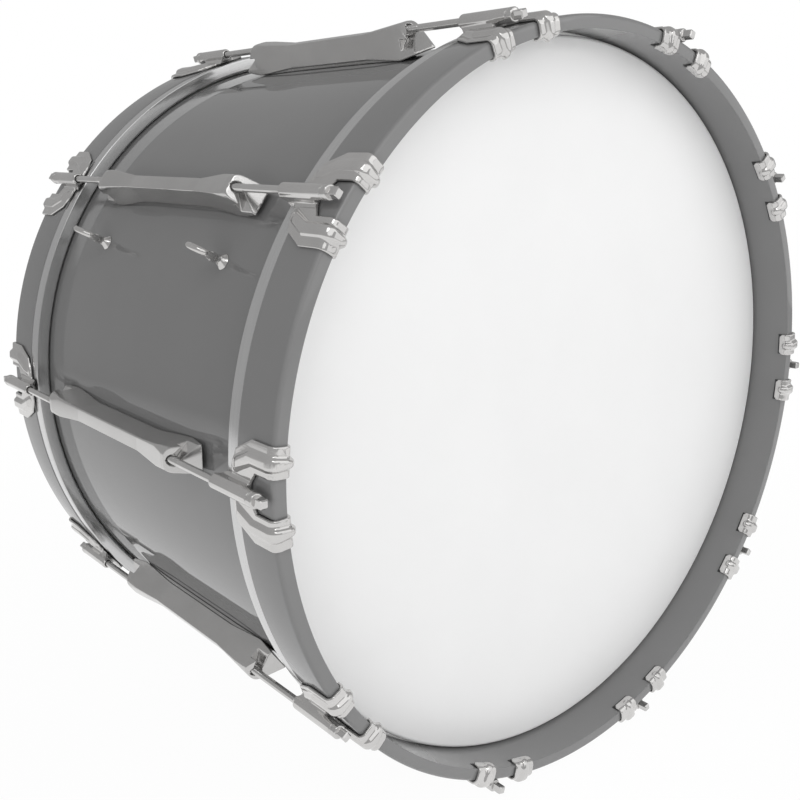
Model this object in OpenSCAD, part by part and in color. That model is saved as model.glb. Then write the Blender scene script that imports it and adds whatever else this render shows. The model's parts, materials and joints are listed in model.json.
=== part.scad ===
// Marching bass drum, 22 x 14 in, ten double-ended lugs.
// The drum's axis lies along Y. Its front head faces -Y, +Z is up, and the
// origin is the centre of the shell. Every end piece is drawn for the rear end
// (+Y) and mirrored for the front end.

/* [Shell] */
// Outer diameter of the shell (22 in)
shell_d = 558.8; // [540:0.1:620]
// Depth of the shell between its two bearing edges (14 in)
shell_depth = 355.6; // [340:0.1:400]
// Thickness of the shell's ply wall
shell_wall = 7.5; // [6:0.1:10]
// Roundover on the outside of each bearing edge, cut as a bevel
edge_bevel = 2; // [1:0.1:3]
// Width of the flat top of each bearing edge
edge_flat = 1.2; // [0.8:0.1:2]
// Height of the bevel on the inside of each bearing edge
edge_inner = 4; // [3:0.1:5]

/* [Counterhoops] */
// Gap between the shell's outside and a counterhoop's inner wall
hoop_gap = 2.5; // [2.2:0.1:3.5]
// Radial thickness of a counterhoop
hoop_t = 10; // [9:0.1:12]
// Width of a counterhoop along the drum's axis (1.5 in)
hoop_w = 38.1; // [34:0.1:45]
// How far a counterhoop's edge stands proud of the bearing edge
head_recess = 32.5; // [28:0.1:36]
// Bevel on the outer edge of a counterhoop
hoop_bevel = 2; // [1:0.1:3]
// Bevel on the inner edge of a counterhoop
hoop_inner_bevel = 0.6; // [0.4:0.1:2]

/* [Heads] */
// Width of the aluminium flesh hoop along the drum's axis
flesh_w = 12; // [10:0.1:14]
// How far the flesh hoop sits inside the counterhoop's outside
flesh_inset = 0.4; // [0.2:0.1:1]
// Thickness of the head's film
film_t = 0.3; // [0.2:0.05:0.5]
// Gap between the film and the bearing edge
film_gap = 0.1; // [0.05:0.01:0.2]
// Bevel where the film turns down over the bearing edge
film_bevel = 2.2; // [1.8:0.1:2.6]

/* [Lugs] */
// Number of lugs round the shell
lug_count = 10; // [10:1:10]
// Half the lug's length, at its top edge
lug_half_l = 99.5; // [95:0.5:102]
// Half the length of the lug's straight waist
waist_half_l = 52; // [45:0.5:56]
// Width of the lug's ends where they meet the shell
lug_end_w = 20.4; // [19:0.1:22]
// Width of the lug's waist, at its top
waist_w = 11.4; // [10.5:0.1:13]
// Height of the lug's ends above the shell
lug_end_h = 25.8; // [25:0.1:27]
// Height of the lug's waist above the shell
waist_h = 21.8; // [20:0.1:23]
// Height of the undercut along the foot of the lug's waist
undercut_h = 2.9; // [2:0.1:4]
// How far the toe reaches past the lug's top edge
toe_l = 14; // [12:0.1:15]
// Width of the slot that lets a rod swing out sideways
slot_w = 5.6; // [5:0.1:6]
// Slope of that slot, down from the rod towards the shell
slot_fall = 44; // [35:1:50]
// Distance of a mounting screw from the middle of the lug
screw_y = 64; // [58:0.5:70]

/* [Tension rods] */
// Diameter of the rod (7/32 in nominal)
rod_d = 5.5; // [5:0.1:6]
// Height of the rod's axis above the shell
rod_rise = 20; // [19:0.1:21]
// Side of the square key head
key_side = 5.8; // [5.5:0.1:6.2]
// Length of the square key head
key_l = 8.6; // [6:0.1:10]
// Diameter of the round collar under the key head
collar_d = 10.2; // [9:0.1:11]
// Thickness of the collar
collar_t = 4.4; // [3:0.1:5]
// Radial clearance of the rod in its washer and swivel nut
rod_fit = 0.06; // [0.03:0.01:0.1]

/* [Claws] */
// Diameter of the claw's rod tube
tube_d = 10; // [9.5:0.1:12]
// Distance from the claw tube's inner end to the counterhoop's outer edge
tube_back = 55.3; // [52:0.1:58]
// Distance from the claw tube's outer end to the counterhoop's outer edge
tube_front = 9.3; // [8:0.1:12]
// Thickness of the claw's plate and hooks
claw_t = 2.3; // [2:0.1:3]
// Thickness of the rubber pad under the claw
pad_t = 0.4; // [0.3:0.1:1]
// Height of the raised rib on each hook
rib_h = 2.5; // [2:0.1:3.5]
// Distance of a hook's near side from the claw's middle
hook_in = 12.5; // [11.5:0.1:14]
// Distance of a hook's far side from the claw's middle
hook_out = 31.5; // [30:0.1:34]
// Width of the raised rib
rib_w = 8.4; // [7:0.1:10]
// How far a hook's tab reaches back inside the counterhoop
tab_l = 6.8; // [5:0.1:10]

/* [Eye bolts] */
// Angle of the eye bolts round the shell, from the top towards -X
eye_angle = 63; // [60:0.5:66]
// Distance of each eye bolt from the middle of the shell
eye_y = 92; // [80:0.5:100]
// Radius of the hole in the eye
eye_hole_r = 6.6; // [6:0.1:7]
// Radius of the ring's wire
wire_r = 2.4; // [2:0.1:2.8]
// Radius of the ring's centre line
ring_r = 8.8; // [8.6:0.1:9]
// Height of the ring's centre above the shell
eye_rise = 18.4; // [17:0.1:20]
// Turn of each eye about its own stem
eye_turn = -8; // [-20:1:20]

/* [Vent] */
// Angle of the air vent round the shell, from the top towards +X
vent_angle = 72; // [70:0.5:74]

/* [Hidden] */
$fn = 96;
shell_r = shell_d / 2;
edge_y = shell_depth / 2;
hoop_in = shell_r + hoop_gap;
hoop_out = hoop_in + hoop_t;
hoop_end = edge_y + head_recess;
hoop_start = hoop_end - hoop_w;
flesh_out = hoop_out - flesh_inset;
flesh_start = hoop_start - flesh_w;
film_out = hoop_in - 1.1;
film_face = edge_y + film_gap;
lug_step = 360 / lug_count;
rod_z = shell_r + rod_rise;
rod_r = rod_d / 2;
inner_wall = shell_r - shell_wall;
tube_y0 = hoop_end - tube_back;
tube_y1 = hoop_end - tube_front;
washer_t = 1.3;
washer_gap = 0.1;
collar_y = tube_y1 + washer_t + 2 * washer_gap;
rod_tip_y = 78;
nut_y0 = 86;
nut_y1 = 98;
nut_r = 3.9;
pocket_r = 4;
passage_r = 3.1;
screw_r = 2;
screw_hole_r = 2.6;
screw_washer_r = 7;
screw_washer_t = 1.1;
screw_head_r = 4.8;
screw_head_t = 2.4;
washer_seat = inner_wall - 0.12;
screw_top = shell_r + 10.6;
eye_shank_r = 3;
eye_hole_in_shell_r = 3.2;
eye_washer_r = 9;
eye_washer_t = 1.5;
eye_washer_seat = inner_wall - 0.2;
eye_nut_r = 5.77;
eye_nut_t = 5;
vent_hole_r = 6.2;
vent_bore_r = 4.6;
vent_flange_r = 11;
far = 400;

FIXED_NODES = ["shell", "swivel_nuts", "lug_screws", "lug_washers", "eye_bolts",
    "eye_bolt_washers", "eye_bolt_nuts", "vent_grommet",
    "front_hoop", "front_flesh_hoop", "front_head", "front_claws", "front_claw_pads",
    "front_rod_washers", "rear_hoop", "rear_flesh_hoop", "rear_head", "rear_claws",
    "rear_claw_pads", "rear_rod_washers"];
LUG_NODES = [for (i = [1 : lug_count]) str("lug_", i)];
ROD_NODES = [for (end = ["front", "rear"], i = [1 : lug_count]) str(end, "_rod_", i)];

// Angle of station i, from the top of the drum towards +X
function station(i) = lug_step * (i - 0.5);

// Children are drawn at the top of the drum: X round the shell, Y along it, Z outwards
module at_angle(a) {
    rotate([0, a, 0]) children();
}

module at_stations() {
    for (i = [1 : lug_count]) at_angle(station(i)) children();
}

// Children are drawn for the rear end
module at_end(end) {
    if (end == "front") mirror([0, 1, 0]) children();
    else children();
}

// Turns a profile of [radius, distance along the drum] points about the drum's axis
module turned(points) {
    rotate([-90, 0, 0]) rotate_extrude($fn = 180) polygon(points);
}

// The same, over a short arc centred on the top of the drum
module turned_arc(points, arc) {
    rotate([-90, 0, 0]) rotate([0, 0, -90 - arc / 2])
        rotate_extrude(angle = arc, $fn = 180) polygon(points);
}

// A cylinder along the drum's axis, at height z over it
module rod_bar(r, y0, y1, z) {
    translate([0, y0, z]) rotate([-90, 0, 0]) cylinder(h = y1 - y0, r = r);
}

// A side view of [distance along the drum, height] points, given a width
module side_slab(points, width) {
    rotate([90, 0, 90]) linear_extrude(height = width, center = true) polygon(points);
}

// An [across, height] section, drawn out along the drum
module along(points, length) {
    rotate([90, 0, 0]) linear_extrude(height = length, center = true) polygon(points);
}

// A plan of [across, along] points, made tall enough to cut any end piece
module plan_slab(points) {
    translate([0, 0, shell_r - 12]) linear_extrude(height = 50) polygon(points);
}

function both_sides(half) = concat(half, [for (i = [len(half) - 1 : -1 : 0]) [-half[i][0], half[i][1]]]);
function both_ends(half) = concat(half, [for (i = [len(half) - 1 : -1 : 0]) [half[i][0], -half[i][1]]]);

// ---------------------------------------------------------------- shell

module shell() {
    half = [
        [inner_wall, edge_y - edge_inner],
        [shell_r - edge_bevel - edge_flat, edge_y],
        [shell_r - edge_bevel, edge_y],
        [shell_r, edge_y - edge_bevel]];
    color([0.45, 0.45, 0.45]) difference() {
        turned(both_ends(half));
        at_stations() for (s = [-1, 1])
            translate([0, s * screw_y, inner_wall - 5]) cylinder(h = 20, r = screw_hole_r, $fn = 32);
        at_angle(-eye_angle) for (s = [-1, 1])
            translate([0, s * eye_y, inner_wall - 5]) cylinder(h = 20, r = eye_hole_in_shell_r, $fn = 32);
        at_angle(vent_angle) translate([0, 0, inner_wall - 5]) cylinder(h = 20, r = vent_hole_r, $fn = 48);
    }
}

module vent_grommet() {
    barrel = [
        [vent_bore_r, inner_wall - 1.6], [vent_flange_r - 1.5, inner_wall - 1.6],
        [vent_flange_r - 1.5, inner_wall - 0.4], [vent_hole_r - 0.1, inner_wall - 0.4],
        [vent_hole_r - 0.1, shell_r + 0.1], [vent_flange_r, shell_r + 0.1],
        [vent_flange_r - 1, shell_r + 1.4], [vent_bore_r, shell_r + 1.4]];
    color([0.8, 0.8, 0.8]) at_angle(vent_angle) rotate_extrude($fn = 64) polygon(barrel);
}

// ---------------------------------------------------------------- lugs

// Which side of each lug its two rod slots open to
SLOT_SIDE = [1, 1, -1, -1, -1, 1, 1, 1, -1, -1];

// One bow-tie casting: narrow waist, wide ends, and a sloping toe under each rod
module lug_body(slot_side) {
    end_half = lug_end_w / 2;
    waist_half = waist_w / 2;
    toe_y = lug_half_l + toe_l;
    side = [for (p = [
        [waist_half_l, waist_h], [91, lug_end_h - 0.4], [96, lug_end_h],
        [lug_half_l, lug_end_h - 0.4], [lug_half_l + 2.3, lug_end_h - 2.4],
        [lug_half_l + 3.8, lug_end_h - 6.2], [lug_half_l + 4.7, lug_end_h - 9.7],
        [lug_half_l + 6.9, lug_end_h - 12.7], [lug_half_l + 9.7, lug_end_h - 15.7],
        [toe_y - 1.8, lug_end_h - 18.5], [toe_y - 0.2, 5.2], [toe_y, 3.9], [toe_y - 0.9, 3.3],
        [95, 0.3], [80, 1.2], [waist_half_l + 4, undercut_h]]) [p[0], shell_r + p[1]]];
    side_all = concat(side, [for (i = [len(side) - 1 : -1 : 0]) [-side[i][0], side[i][1]]]);
    plan = [
        [waist_half - 0.3, waist_half_l], [end_half - 2.6, 79], [end_half - 1.3, 91],
        [end_half - 0.4, 98], [end_half, 104], [end_half, toe_y - 2.5], [end_half - 1.6, toe_y + 1]];
    last = len(plan) - 1;
    plan_all = concat(
        [for (i = [0 : last]) plan[i]], [for (i = [last : -1 : 0]) [-plan[i][0], plan[i][1]]],
        [for (i = [0 : last]) [-plan[i][0], -plan[i][1]]],
        [for (i = [last : -1 : 0]) [plan[i][0], -plan[i][1]]]);
    end_section = both_sides([for (p = [
        [end_half + 0.1, -2], [end_half - 0.2, 5], [end_half - 1.2, 19], [end_half - 1.7, 22.6],
        [end_half - 3.4, 24.7], [end_half - 6.6, lug_end_h]]) [p[0], shell_r + p[1]]]);
    waist_section = both_sides([for (p = [
        [waist_half + 1, -2], [waist_half + 0.9, undercut_h], [waist_half, 20.2], [waist_half - 1.9, waist_h]])
        [p[0], shell_r + p[1]]]);
    difference() {
        union() {
            intersection() {
                side_slab(side_all, 40);
                union() {
                    intersection() {
                        plan_slab(plan_all);
                        along(end_section, 300);
                    }
                    along(waist_section, 2 * waist_half_l + 20);
                }
            }
            intersection() {
                plan_slab(both_sides([[waist_half - 1.2, -92], [waist_half - 1.2, 92]]));
                along(both_sides([[waist_half, shell_r - 2], [waist_half, shell_r + 8]]), 184);
            }
            for (s = [-1, 1]) mirror([0, s < 0 ? 1 : 0, 0]) intersection() {
                plan_slab(both_sides([
                    [waist_half - 1.2, waist_half_l], [end_half - 4, 79], [end_half - 2.8, 90],
                    [end_half - 3.2, 92]]));
                along(both_sides([[end_half, shell_r - 2], [end_half, shell_r + 5]]), 184);
            }
        }
        rotate([-90, 0, 0]) cylinder(h = far, r = shell_r + 0.05, center = true, $fn = 180);
        for (s = [-1, 1]) {
            mirror([0, s < 0 ? 1 : 0, 0]) {
                rod_bar(pocket_r, nut_y0 - 1, far / 2, rod_z);
                rod_bar(passage_r, rod_tip_y - 3, nut_y0, rod_z);
                translate([0, nut_y1 + 0.5, rod_z])
                    rotate([0, slot_side > 0 ? slot_fall : 180 - slot_fall, 0])
                        translate([0, 0, -slot_w / 2]) cube([30, 40, slot_w]);
            }
            translate([0, s * screw_y, shell_r - 5])
                cylinder(h = screw_top - shell_r + 5.5, r = screw_r + 0.05, $fn = 32);
        }
    }
}

module lug(i) {
    color([0.72, 0.71, 0.69]) at_angle(station(i)) lug_body(SLOT_SIDE[(i - 1) % 10]);
}

// Threaded barrels in the lugs' ends that the rods screw into
module swivel_nuts() {
    color([0.8, 0.7, 0.4]) at_stations() for (end = ["front", "rear"]) at_end(end) difference() {
        rod_bar(nut_r, nut_y0, nut_y1, rod_z);
        rod_bar(rod_r + rod_fit, nut_y0 - 1, nut_y1 + 1, rod_z);
    }
}

module lug_screws() {
    head_z = washer_seat - screw_washer_t;
    color([0.7, 0.7, 0.7]) at_stations() for (s = [-1, 1]) translate([0, s * screw_y, 0]) union() {
        translate([0, 0, head_z - screw_head_t]) cylinder(h = screw_head_t, r = screw_head_r, $fn = 32);
        translate([0, 0, head_z - 0.5]) cylinder(h = screw_top - head_z + 0.5, r = screw_r, $fn = 32);
    }
}

module lug_washers() {
    color([0.65, 0.65, 0.65]) at_stations() for (s = [-1, 1])
        translate([0, s * screw_y, washer_seat - screw_washer_t]) difference() {
            cylinder(h = screw_washer_t, r = screw_washer_r, $fn = 48);
            translate([0, 0, -1]) cylinder(h = 4, r = screw_r + 0.3, $fn = 32);
        }
}

// ---------------------------------------------------------------- eye bolts

module at_eyes() {
    at_angle(-eye_angle) for (s = [-1, 1]) translate([0, s * eye_y, 0]) children();
}

module eye_bolts() {
    stem_r = 3.1;
    flare_r = 6.2;
    flare_h = 7;
    nut_z = eye_washer_seat - eye_washer_t;
    color([0.82, 0.81, 0.79]) at_eyes() union() {
        translate([0, 0, nut_z - eye_nut_t - 2]) cylinder(h = shell_wall + eye_nut_t + 6, r = eye_shank_r);
        translate([0, 0, shell_r + 0.1]) cylinder(h = 1.2, r = flare_r);
        translate([0, 0, shell_r + 1.2]) cylinder(h = flare_h - 1.2, r1 = flare_r, r2 = stem_r);
        translate([0, 0, shell_r + flare_h - 0.1]) cylinder(h = 2.4, r = stem_r);
        translate([0, 0, shell_r + eye_rise]) rotate([0, 90, eye_turn]) rotate_extrude($fn = 72)
            intersection() {
                translate([ring_r, 0]) circle(r = wire_r, $fn = 40);
                translate([eye_hole_r, -5]) square([10, 10]);
            }
    }
}

module eye_bolt_washers() {
    color([0.65, 0.65, 0.65]) at_eyes() translate([0, 0, eye_washer_seat - eye_washer_t]) difference() {
        cylinder(h = eye_washer_t, r = eye_washer_r);
        translate([0, 0, -1]) cylinder(h = 4, r = eye_shank_r + 0.2);
    }
}

module eye_bolt_nuts() {
    color([0.7, 0.7, 0.7]) at_eyes()
        translate([0, 0, eye_washer_seat - eye_washer_t - eye_nut_t]) difference() {
            cylinder(h = eye_nut_t, r = eye_nut_r, $fn = 6);
            translate([0, 0, -1]) cylinder(h = eye_nut_t + 2, r = eye_shank_r + 0.02);
        }
}

// ---------------------------------------------------------------- hoops and heads

module hoop(end) {
    color([0.42, 0.42, 0.42]) at_end(end) turned([
        [hoop_in, hoop_start], [hoop_out - 0.6, hoop_start], [hoop_out, hoop_start + 0.6],
        [hoop_out, hoop_end - hoop_bevel], [hoop_out - hoop_bevel, hoop_end],
        [hoop_in + hoop_inner_bevel, hoop_end], [hoop_in, hoop_end - hoop_inner_bevel]]);
}

// A channel that grips the film, closed on the side that shows and open to the counterhoop
module flesh_hoop(end) {
    bevel = 1.6;
    wall = 2.2;
    color([0.8, 0.8, 0.8]) at_end(end) turned([
        [film_out, flesh_start + bevel], [film_out + bevel, flesh_start],
        [flesh_out - bevel, flesh_start], [flesh_out, flesh_start + bevel],
        [flesh_out, hoop_start], [flesh_out - wall, hoop_start],
        [flesh_out - wall, flesh_start + wall], [film_out + wall, flesh_start + wall],
        [film_out + wall, hoop_start], [film_out, hoop_start]]);
}

// Film stretched flat over the bearing edge and turned down into the flesh hoop
module head(end) {
    top = film_face + film_t;
    color([0.93, 0.93, 0.93]) at_end(end) turned([
        [0, film_face], [film_out - film_bevel - film_t / 2, film_face],
        [film_out - film_t, film_face - film_bevel + film_t / 2], [film_out - film_t, flesh_start + 2],
        [film_out, flesh_start + 2], [film_out, top - film_bevel],
        [film_out - film_bevel, top], [0, top]]);
}

// ---------------------------------------------------------------- claws

plate_back = hoop_start - 10;
splay_y = hoop_start + 2;
knee_y = hoop_start + 19;
notch_y = hoop_start + 17.3;
beyond = hoop_end + 8;
plate_half = [[7, plate_back], [24.5, splay_y], [hook_out, knee_y], [hook_out, beyond],
    [hook_in, beyond], [hook_in, knee_y + 4.5], [4.5, notch_y]];

// Section of the hook round the counterhoop, lying between `low` and `high` above its surface
function hook(low, high, back, tab) =
    let (out_lo = hoop_out + low, out_hi = hoop_out + high, end_lo = hoop_end + low,
         end_hi = hoop_end + high, in_lo = hoop_in - low, in_hi = hoop_in - high)
    [[out_lo, back], [out_hi, back], [out_hi, end_hi - 4], [out_hi - 1.2, end_hi - 1.2],
     [out_hi - 4, end_hi], [in_hi + 3, end_hi], [in_hi + 0.9, end_hi - 0.9], [in_hi, end_hi - 3],
     [in_hi, tab], [in_lo, tab], [in_lo, end_lo], [out_lo, end_lo]];

// Section of the rubber pad between the hook and the counterhoop
function pad_section(tab) =
    let (r1 = hoop_out + pad_t, y1 = hoop_end + pad_t, r0 = hoop_in - pad_t)
    [[hoop_out, hoop_start + 1], [r1, hoop_start + 1], [r1, y1], [r0, y1], [r0, tab],
     [hoop_in, tab], [hoop_in, hoop_end], [hoop_out, hoop_end]];

// The raised rib along a hook, from the plate over the front to the edge of the tab
function rib(base) =
    let (r0 = hoop_out + base - 0.8, r1 = hoop_out + base + rib_h,
         e0 = hoop_end + base - 0.8, e1 = hoop_end + base + rib_h)
    [[r0, splay_y + 1], [r1, splay_y + 6], [r1, e1 - 5], [r1 - 1.6, e1 - 1.6], [r1 - 5, e1],
     [hoop_in + 4, e1], [hoop_in + 0.5, e0 + 0.4], [hoop_in + 0.5, e0], [r0, e0]];

module claw() {
    base = pad_t + claw_t;
    rib_plan = [[15 - rib_w / 2, splay_y], [22 - rib_w / 2, knee_y + 1], [22 - rib_w / 2, beyond],
        [22 + rib_w / 2, beyond], [22 + rib_w / 2, knee_y + 1], [15 + rib_w / 2, splay_y]];
    keel = [[-tube_d / 2, rod_z], [tube_d / 2, rod_z], [8, hoop_out + pad_t + 1],
        [-8, hoop_out + pad_t + 1]];
    difference() {
        union() {
            intersection() {
                turned_arc(hook(pad_t, base, plate_back, hoop_end - tab_l), 18);
                plan_slab(both_sides(plate_half));
            }
            for (s = [0, 1]) mirror([s, 0, 0]) intersection() {
                turned_arc(rib(base), 18);
                plan_slab(rib_plan);
            }
            rod_bar(tube_d / 2, tube_y0 + 1, tube_y1, rod_z);
            translate([0, tube_y0, rod_z]) rotate([-90, 0, 0])
                cylinder(h = 1.001, r1 = tube_d / 2 - 1, r2 = tube_d / 2);
            translate([0, notch_y, 0]) rotate([90, 0, 0])
                linear_extrude(height = notch_y - tube_y0 - 3) polygon(keel);
        }
        rod_bar(rod_r + 0.4, tube_y0 - 1, tube_y1 + 1, rod_z);
    }
}

module claws(end) {
    color([0.8, 0.79, 0.77]) at_end(end) at_stations() claw();
}

module claw_pads(end) {
    color([0.12, 0.12, 0.12]) at_end(end) at_stations() intersection() {
        turned_arc(pad_section(hoop_end - tab_l - 0.5), 18);
        plan_slab(both_sides(plate_half));
    }
}

// ---------------------------------------------------------------- tension rods

module rod_washers(end) {
    color([0.85, 0.85, 0.85]) at_end(end) at_stations() difference() {
        rod_bar(tube_d / 2, tube_y1 + washer_gap, tube_y1 + washer_gap + washer_t, rod_z);
        rod_bar(rod_r + rod_fit, tube_y1 - 1, tube_y1 + washer_t + 1, rod_z);
    }
}

module rod(end, i) {
    collar_end = collar_y + collar_t;
    color([0.84, 0.83, 0.82]) at_end(end) at_angle(station(i)) union() {
        rod_bar(rod_r, rod_tip_y, collar_y + 0.5, rod_z);
        rod_bar(collar_d / 2, collar_y, collar_end - 1, rod_z);
        translate([0, collar_end - 1.001, rod_z]) rotate([-90, 0, 0])
            cylinder(h = 1, r1 = collar_d / 2, r2 = collar_d / 2 - 1.2);
        intersection() {
            translate([-key_side / 2, collar_end - 0.5, rod_z - key_side / 2])
                cube([key_side, key_l, key_side]);
            rod_bar(key_side * 0.655, collar_end - 1, collar_end + key_l, rod_z);
        }
    }
}

shell();
vent_grommet();
swivel_nuts();
lug_screws();
lug_washers();
eye_bolts();
eye_bolt_washers();
eye_bolt_nuts();
for (i = [1 : lug_count]) lug(i);
for (end = ["front", "rear"]) {
    hoop(end);
    flesh_hoop(end);
    head(end);
    claws(end);
    claw_pads(end);
    rod_washers(end);
    for (i = [1 : lug_count]) rod(end, i);
}
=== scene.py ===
"""Marching bass drum, 22 x 14 in: the visual model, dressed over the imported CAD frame.

Lengths are in millimetres while a piece is being worked out, and metres in its mesh.
A lug, claw or eye bolt is worked out in its station's own frame: x round the shell, y along the drum,
z outwards from the shell's surface, drawn for the rear end (+y) and mirrored for the front end.
"""
import json
import math

import bpy
import numpy as np
from mathutils import Matrix, Vector

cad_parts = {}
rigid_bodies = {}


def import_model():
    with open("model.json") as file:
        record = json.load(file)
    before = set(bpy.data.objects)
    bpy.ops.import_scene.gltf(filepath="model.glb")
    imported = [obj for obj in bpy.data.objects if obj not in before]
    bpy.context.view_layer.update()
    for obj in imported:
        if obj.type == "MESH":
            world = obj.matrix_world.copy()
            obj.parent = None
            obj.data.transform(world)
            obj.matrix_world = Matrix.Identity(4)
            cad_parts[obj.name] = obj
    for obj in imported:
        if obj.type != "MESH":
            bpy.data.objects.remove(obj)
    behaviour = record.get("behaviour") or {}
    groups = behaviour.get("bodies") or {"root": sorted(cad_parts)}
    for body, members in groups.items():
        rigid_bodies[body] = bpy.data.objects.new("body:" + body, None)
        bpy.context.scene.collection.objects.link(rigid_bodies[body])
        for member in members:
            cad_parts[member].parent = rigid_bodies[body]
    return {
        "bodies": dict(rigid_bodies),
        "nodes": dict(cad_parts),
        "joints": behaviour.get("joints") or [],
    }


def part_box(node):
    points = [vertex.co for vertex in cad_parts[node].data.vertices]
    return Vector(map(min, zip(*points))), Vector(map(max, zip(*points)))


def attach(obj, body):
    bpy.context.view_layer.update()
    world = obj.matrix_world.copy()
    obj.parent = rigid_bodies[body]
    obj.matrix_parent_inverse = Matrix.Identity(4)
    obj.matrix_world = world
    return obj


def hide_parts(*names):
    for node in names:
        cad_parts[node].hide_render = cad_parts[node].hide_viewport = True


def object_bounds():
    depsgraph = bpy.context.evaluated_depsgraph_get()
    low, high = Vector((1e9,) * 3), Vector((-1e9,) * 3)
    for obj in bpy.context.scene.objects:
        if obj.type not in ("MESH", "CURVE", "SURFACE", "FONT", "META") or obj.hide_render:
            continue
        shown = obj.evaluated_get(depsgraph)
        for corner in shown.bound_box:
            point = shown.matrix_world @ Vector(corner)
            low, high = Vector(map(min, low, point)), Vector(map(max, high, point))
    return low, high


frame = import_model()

CAD_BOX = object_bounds()
MM = 0.001
ENDS = (("front", -1), ("rear", 1))


# ---------------------------------------------------------------- sizes, from the frame

def high(node, axis):
    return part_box(node)[1][axis] / MM


def low(node, axis):
    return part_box(node)[0][axis] / MM


SHELL_R = high("shell", 2)
EDGE_Y = high("shell", 1)
SHELL_WALL = 7.5
HOOP_T = 10.0
HOOP_OUT = high("rear_hoop", 2)
HOOP_IN = HOOP_OUT - HOOP_T
HOOP_START = low("rear_hoop", 1)
# In the photo the counterhoop's face stands further out than the CAD's, and this takes up part of that.
HOOP_FACE = high("rear_hoop", 1) + 1.5
FLESH_START = low("rear_flesh_hoop", 1)
FLESH_OUT = high("rear_flesh_hoop", 2)
FILM_OUT = high("rear_head", 2)
FILM_TOP = high("rear_head", 1)
FILM_T = 0.3

JOINTS = {j["name"]: j for j in frame["joints"]}
LUG_COUNT = sum(name.startswith("rear_rod_") for name in frame["bodies"])


def turn_position(end, i):
    """Where the axis of a station's rod crosses the plane of X and Z."""
    x, y, z = JOINTS[f"{end}_rod_{i}_turn"]["pos_m"]
    return x / MM, z / MM


def station_angle(i):
    """Angle of station i from the top of the drum towards +X."""
    return math.atan2(*turn_position("rear", i))


ROD_RISE = math.hypot(*turn_position("rear", 1)) - SHELL_R
ROD_R = 2.75
ROD_CORE_R = ROD_R - 0.62
THREAD_PITCH = 1.058
KEY_SIDE = 5.8
COLLAR_R = 5.1
COLLAR_T = 4.4
WASHER_R = 5.0
CLAW_BACK = low("rear_claws", 1)
CLAW_FRONT = high("rear_claws", 1)
WASHER_Y = low("rear_rod_washers", 1)
WASHER_END = high("rear_rod_washers", 1)
ROD_TIP = low("rear_rod_1", 1)
ROD_END = high("rear_rod_1", 1)
EYE_ANGLE = -math.radians(63)
EYE_Y = 92.0
EYE_TURN = math.radians(-8)
EYE_RISE = 18.4
EYE_HOLE_R = 6.6
RING_R = 8.8
WIRE_R = 2.4
EYE_SHANK_R = 3.0
EYE_BORE_R = 3.2
VENT_ANGLE = math.radians(72)
VENT_BORE_R = 6.2


# ---------------------------------------------------------------- making meshes

def at_station(angle):
    """From a station's own frame, in metres, to the drum's frame."""
    return Matrix.Rotation(angle, 4, "Y") @ Matrix.Translation((0, 0, SHELL_R * MM))


def new_object(name, mesh, matrix=None):
    obj = bpy.data.objects.new(name, mesh)
    bpy.context.scene.collection.objects.link(obj)
    if matrix is not None:
        obj.matrix_world = matrix
    return obj


def piece(name, mesh, material, body, node, matrix=None):
    """A named piece that rides on a body and stands for a CAD node."""
    obj = new_object(name, mesh, matrix)
    if not mesh.materials:
        mesh.materials.append(material)
    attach(obj, body)
    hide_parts(node)
    return obj


def mesh_from(name, points, faces, sharp_angle=35):
    """A smooth-shaded mesh from points in millimetres, with its edges sharp beyond an angle in degrees."""
    mesh = bpy.data.meshes.new(name)
    mesh.from_pydata((np.asarray(points, float) * MM).tolist(), [], faces)
    mesh.validate()
    mesh.shade_smooth()
    mesh.set_sharp_from_angle(angle=math.radians(sharp_angle))
    return mesh


def rounded(corners):
    """A closed outline from (x, y, radius) corners, each rounded with an arc of that radius."""
    outline = []
    count = len(corners)
    for i, (x, y, radius) in enumerate(corners):
        here = Vector((x, y))
        if radius <= 0:
            outline.append((x, y))
            continue
        back = (Vector(corners[i - 1][:2]) - here).normalized()
        ahead = (Vector(corners[(i + 1) % count][:2]) - here).normalized()
        half = back.angle(ahead) / 2
        reach = radius / math.tan(half)
        centre = here + (back + ahead).normalized() * (radius / math.sin(half))
        start = here + back * reach - centre
        sweep = start.angle_signed(here + ahead * reach - centre)
        steps = max(2, math.ceil(abs(sweep) / math.radians(12)))
        for k in range(steps + 1):
            a = -sweep * k / steps
            outline.append((
                centre.x + start.x * math.cos(a) - start.y * math.sin(a),
                centre.y + start.x * math.sin(a) + start.y * math.cos(a)))
    return outline


def lathe(name, outline, segments=360, sharp_angle=35):
    """Turns a closed outline of (radius, y) points about the drum's axis."""
    outline = np.array(outline)
    radius, y = outline.T
    if np.sum(radius * np.roll(y, -1) - np.roll(radius, -1) * y) < 0:
        outline = outline[::-1]
    count = len(outline)
    angles = np.arange(segments) * 2 * math.pi / segments
    points = np.empty((segments, count, 3))
    points[..., 0] = outline[:, 0] * np.sin(angles)[:, None]
    points[..., 1] = outline[:, 1]
    points[..., 2] = outline[:, 0] * np.cos(angles)[:, None]
    faces = []
    for s in range(segments):
        here, there = s * count, (s + 1) % segments * count
        for k in range(count):
            n = (k + 1) % count
            faces.append((here + k, here + n, there + n, there + k))
    return mesh_from(name, points.reshape(-1, 3), faces, sharp_angle)


def mirrored(mesh, signs=(1, -1, 1)):
    """The same mesh for the front end, or for the other side."""
    twin = mesh.copy()
    twin.transform(Matrix.Diagonal(signs + (1,)))
    twin.flip_normals()
    return twin


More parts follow.
